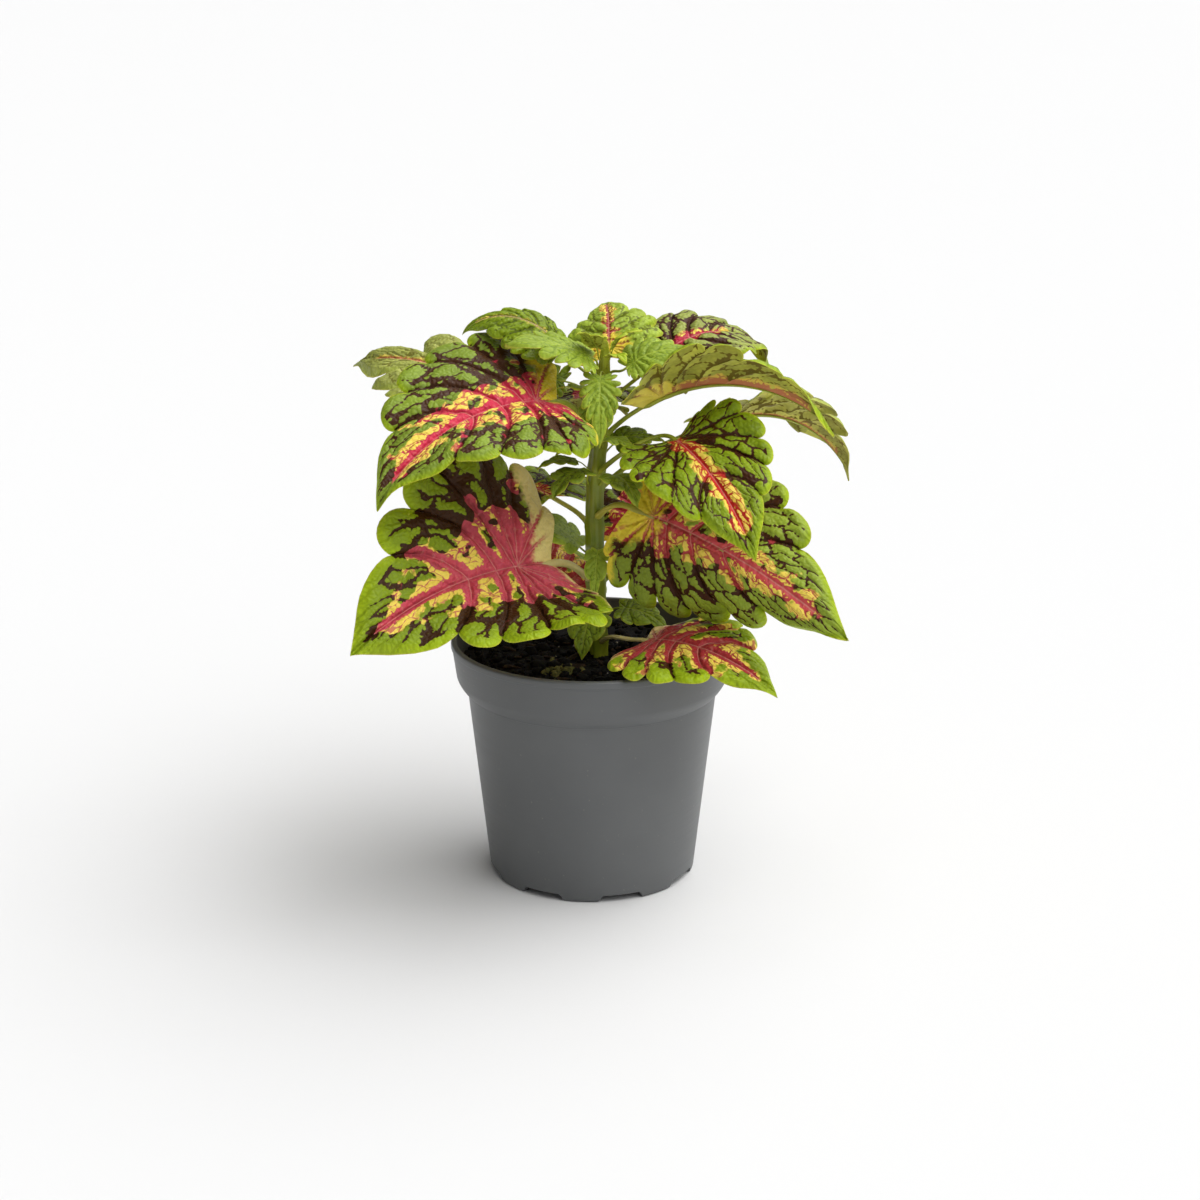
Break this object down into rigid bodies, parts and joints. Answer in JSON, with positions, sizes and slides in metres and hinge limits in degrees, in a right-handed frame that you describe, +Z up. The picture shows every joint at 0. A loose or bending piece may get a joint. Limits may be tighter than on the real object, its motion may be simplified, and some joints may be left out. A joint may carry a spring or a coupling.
{
  "type": "potted coleus",
  "caption": "Bushy coleus with broad scalloped leaves on one square stem, growing in soil in a tapered round nursery pot with a rim band and a notched foot.",
  "frame": {"origin": "middle of the pot's underside, on the surface it stands on", "axes": "+Z up along the pot's axis; -Y towards the front of the plant, +X to its right"},
  "size_m": [0.2224, 0.1646, 0.2394],
  "materials": {
    "pot_plastic": "satin",
    "soil": "matte",
    "stem": "satin",
    "leaf": "satin",
    "young_leaf": "satin"
  },
  "bodies": {
    "root": {"bud_leaf_front": "young_leaf", "bud_leaf_left": "young_leaf", "bud_leaf_right": "young_leaf", "leaf_arched_back": "leaf", "leaf_arched_right": "leaf", "leaf_far_left": "leaf", "leaf_low_back_left": "leaf", "leaf_low_back_right": "leaf", "leaf_low_left": "leaf", "leaf_low_right": "leaf", "leaf_mid_back": "leaf", "leaf_mid_left": "leaf", "leaf_mid_right": "leaf", "leaf_rim_back": "leaf", "leaf_rim_right": "leaf", "leaf_top_back": "leaf", "leaf_top_left": "leaf", "leaf_top_right": "leaf", "pot": "pot_plastic", "side_leaf_low_front": "young_leaf", "side_leaf_low_left": "young_leaf", "side_leaf_mid_back": "young_leaf", "side_leaf_mid_far_left": "young_leaf", "side_leaf_mid_front": "young_leaf", "side_leaf_mid_left": "young_leaf", "side_leaf_mid_right": "young_leaf", "side_leaf_neck_back": "young_leaf", "side_leaf_neck_right": "young_leaf", "side_leaf_root_left": "young_leaf", "side_leaf_root_right": "young_leaf", "side_leaf_upper_front": "young_leaf", "side_leaf_upper_left": "young_leaf", "soil": "soil", "stem": "stem", "young_leaf_dark": "young_leaf", "young_leaf_front": "young_leaf", "young_leaf_left": "young_leaf", "young_leaf_right": "young_leaf"}
  },
  "joints": []
}
